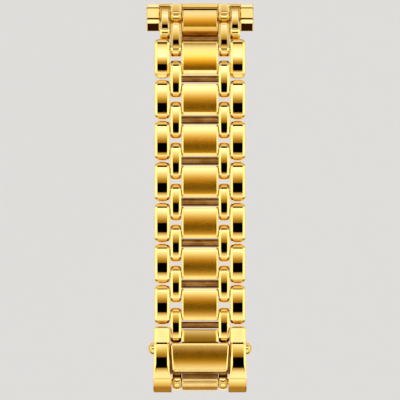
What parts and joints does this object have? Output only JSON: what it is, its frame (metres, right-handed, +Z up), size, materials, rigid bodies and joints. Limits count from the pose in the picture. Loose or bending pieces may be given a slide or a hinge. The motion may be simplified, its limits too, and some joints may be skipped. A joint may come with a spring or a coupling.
{
  "type": "watch bracelet half with folding clasp",
  "caption": "Metal link strap half for a wristwatch: shouldered end piece, hinged rows of domed links, and a folding clasp with a side button on each rail.",
  "frame": {"origin": "centre of the spring bar bore in the end piece", "axes": "+X across the strap along the spring bar, +Z up along the hanging strap, outer face towards -Y"},
  "size_m": [0.0198, 0.0154, 0.0724],
  "materials": {
    "polished_gold": "polished",
    "brushed_gold": "brushed",
    "satin_gold": "satin"
  },
  "bodies": {
    "end": {"end_piece": "polished_gold", "end_pin": "satin_gold"},
    "intermediate_1": {"intermediate_1": "polished_gold"},
    "intermediate_2": {"intermediate_2": "polished_gold"},
    "intermediate_3": {"intermediate_3": "polished_gold"},
    "intermediate_4": {"intermediate_4": "polished_gold"},
    "intermediate_5": {"intermediate_5": "polished_gold"},
    "intermediate_6": {"intermediate_6": "polished_gold"},
    "intermediate_7": {"intermediate_7": "polished_gold"},
    "intermediate_8": {"intermediate_8": "polished_gold"},
    "intermediate_9": {"intermediate_9": "polished_gold"},
    "row_1": {"outer_left_1": "polished_gold", "outer_right_1": "polished_gold", "centre_link_1": "brushed_gold", "row_pins_1": "satin_gold"},
    "row_2": {"outer_left_2": "polished_gold", "outer_right_2": "polished_gold", "centre_link_2": "brushed_gold", "row_pins_2": "satin_gold"},
    "row_3": {"outer_left_3": "polished_gold", "outer_right_3": "polished_gold", "centre_link_3": "brushed_gold", "row_pins_3": "satin_gold"},
    "row_4": {"outer_left_4": "polished_gold", "outer_right_4": "polished_gold", "centre_link_4": "brushed_gold", "row_pins_4": "satin_gold"},
    "row_5": {"outer_left_5": "polished_gold", "outer_right_5": "polished_gold", "centre_link_5": "brushed_gold", "row_pins_5": "satin_gold"},
    "row_6": {"outer_left_6": "polished_gold", "outer_right_6": "polished_gold", "centre_link_6": "brushed_gold", "row_pins_6": "satin_gold"},
    "row_7": {"outer_left_7": "polished_gold", "outer_right_7": "polished_gold", "centre_link_7": "brushed_gold", "row_pins_7": "satin_gold"},
    "row_8": {"outer_left_8": "polished_gold", "outer_right_8": "polished_gold", "centre_link_8": "brushed_gold", "row_pins_8": "satin_gold"},
    "base": {"base_blade": "satin_gold", "clasp_pin": "satin_gold", "blade_hinge_pin": "satin_gold"},
    "middle": {"middle_blade": "satin_gold"},
    "cover": {"clasp_frame": "polished_gold", "cover_plate": "brushed_gold", "plate_rivets": "satin_gold", "cover_hinge_pin": "satin_gold", "lower_pin_1": "satin_gold", "button_spring_left": "satin_gold", "button_spring_right": "satin_gold"},
    "button_left": {"button_left": "polished_gold"},
    "button_right": {"button_right": "polished_gold"},
    "lower_intermediate": {"lower_intermediate": "polished_gold"},
    "lower_row": {"lower_centre_link": "brushed_gold", "lower_pin_2": "satin_gold"}
  },
  "joints": [
    {"name": "link_hinge_0", "type": "hinge", "parent": "end", "child": "intermediate_1", "pos_m": [0, -0.002, 0.00107], "axis": [1, 0, 0], "range_deg": [-20, 0]},
    {"name": "link_hinge_1", "type": "hinge", "parent": "intermediate_1", "child": "row_1", "pos_m": [0, -0.00519, -0.00009], "axis": [1, 0, 0], "range_deg": [-20, 0]},
    {"name": "link_hinge_2", "type": "hinge", "parent": "row_1", "child": "intermediate_2", "pos_m": [0, -0.00841, -0.00279], "axis": [1, 0, 0], "range_deg": [-20, 0]},
    {"name": "link_hinge_3", "type": "hinge", "parent": "intermediate_2", "child": "row_2", "pos_m": [0, -0.01011, -0.00574], "axis": [1, 0, 0], "range_deg": [-20, 0]},
    {"name": "link_hinge_4", "type": "hinge", "parent": "row_2", "child": "intermediate_3", "pos_m": [0, -0.01084, -0.00987], "axis": [1, 0, 0], "range_deg": [-10, 10]},
    {"name": "link_hinge_5", "type": "hinge", "parent": "intermediate_3", "child": "row_3", "pos_m": [0, -0.01084, -0.01327], "axis": [1, 0, 0], "range_deg": [0, 12]},
    {"name": "link_hinge_6", "type": "hinge", "parent": "row_3", "child": "intermediate_4", "pos_m": [0, -0.01084, -0.01747], "axis": [1, 0, 0], "range_deg": [0, 12]},
    {"name": "link_hinge_7", "type": "hinge", "parent": "intermediate_4", "child": "row_4", "pos_m": [0, -0.01084, -0.02087], "axis": [1, 0, 0], "range_deg": [0, 12]},
    {"name": "link_hinge_8", "type": "hinge", "parent": "row_4", "child": "intermediate_5", "pos_m": [0, -0.01084, -0.02507], "axis": [1, 0, 0], "range_deg": [0, 12]},
    {"name": "link_hinge_9", "type": "hinge", "parent": "intermediate_5", "child": "row_5", "pos_m": [0, -0.01084, -0.02847], "axis": [1, 0, 0], "range_deg": [0, 12]},
    {"name": "link_hinge_10", "type": "hinge", "parent": "row_5", "child": "intermediate_6", "pos_m": [0, -0.01084, -0.03267], "axis": [1, 0, 0], "range_deg": [0, 12]},
    {"name": "link_hinge_11", "type": "hinge", "parent": "intermediate_6", "child": "row_6", "pos_m": [0, -0.01084, -0.03607], "axis": [1, 0, 0], "range_deg": [0, 12]},
    {"name": "link_hinge_12", "type": "hinge", "parent": "row_6", "child": "intermediate_7", "pos_m": [0, -0.01084, -0.04027], "axis": [1, 0, 0], "range_deg": [0, 12]},
    {"name": "link_hinge_13", "type": "hinge", "parent": "intermediate_7", "child": "row_7", "pos_m": [0, -0.01084, -0.04367], "axis": [1, 0, 0], "range_deg": [0, 12]},
    {"name": "link_hinge_14", "type": "hinge", "parent": "row_7", "child": "intermediate_8", "pos_m": [0, -0.01084, -0.04787], "axis": [1, 0, 0], "range_deg": [0, 12]},
    {"name": "link_hinge_15", "type": "hinge", "parent": "intermediate_8", "child": "row_8", "pos_m": [0, -0.01084, -0.05127], "axis": [1, 0, 0], "range_deg": [0, 12]},
    {"name": "link_hinge_16", "type": "hinge", "parent": "row_8", "child": "intermediate_9", "pos_m": [0, -0.01084, -0.05547], "axis": [1, 0, 0], "range_deg": [0, 12]},
    {"name": "link_hinge_17", "type": "hinge", "parent": "intermediate_9", "child": "base", "pos_m": [0, -0.01084, -0.05887], "axis": [1, 0, 0], "range_deg": [0, 12]},
    {"name": "blade_hinge", "type": "hinge", "parent": "base", "child": "middle", "pos_m": [0, 0.00136, -0.06496], "axis": [1, 0, 0], "range_deg": [0, 120]},
    {"name": "cover_hinge", "type": "hinge", "parent": "middle", "child": "cover", "pos_m": [0, -0.0093, -0.06357], "axis": [1, 0, 0], "range_deg": [-120, 0]},
    {"name": "button_left_press", "type": "slide", "parent": "cover", "child": "button_left", "axis": [1, 0, 0], "range_m": [0, 0.0005], "stiffness_N_per_m": 500, "springref_m": -0.0005, "deforming": ["button_spring_left"]},
    {"name": "button_right_press", "type": "slide", "parent": "cover", "child": "button_right", "axis": [-1, 0, 0], "range_m": [0, 0.0005], "stiffness_N_per_m": 500, "springref_m": -0.0005, "deforming": ["button_spring_right"]},
    {"name": "lower_hinge_1", "type": "hinge", "parent": "cover", "child": "lower_intermediate", "pos_m": [0, -0.01024, -0.06762], "axis": [1, 0, 0], "range_deg": [0, 2]},
    {"name": "lower_hinge_2", "type": "hinge", "parent": "lower_intermediate", "child": "lower_row", "pos_m": [0, -0.00685, -0.06792], "axis": [1, 0, 0], "range_deg": [0, 4]}
  ],
  "couplings": [
    {"joint": "cover_hinge", "follows": "blade_hinge", "ratio": -1}
  ]
}
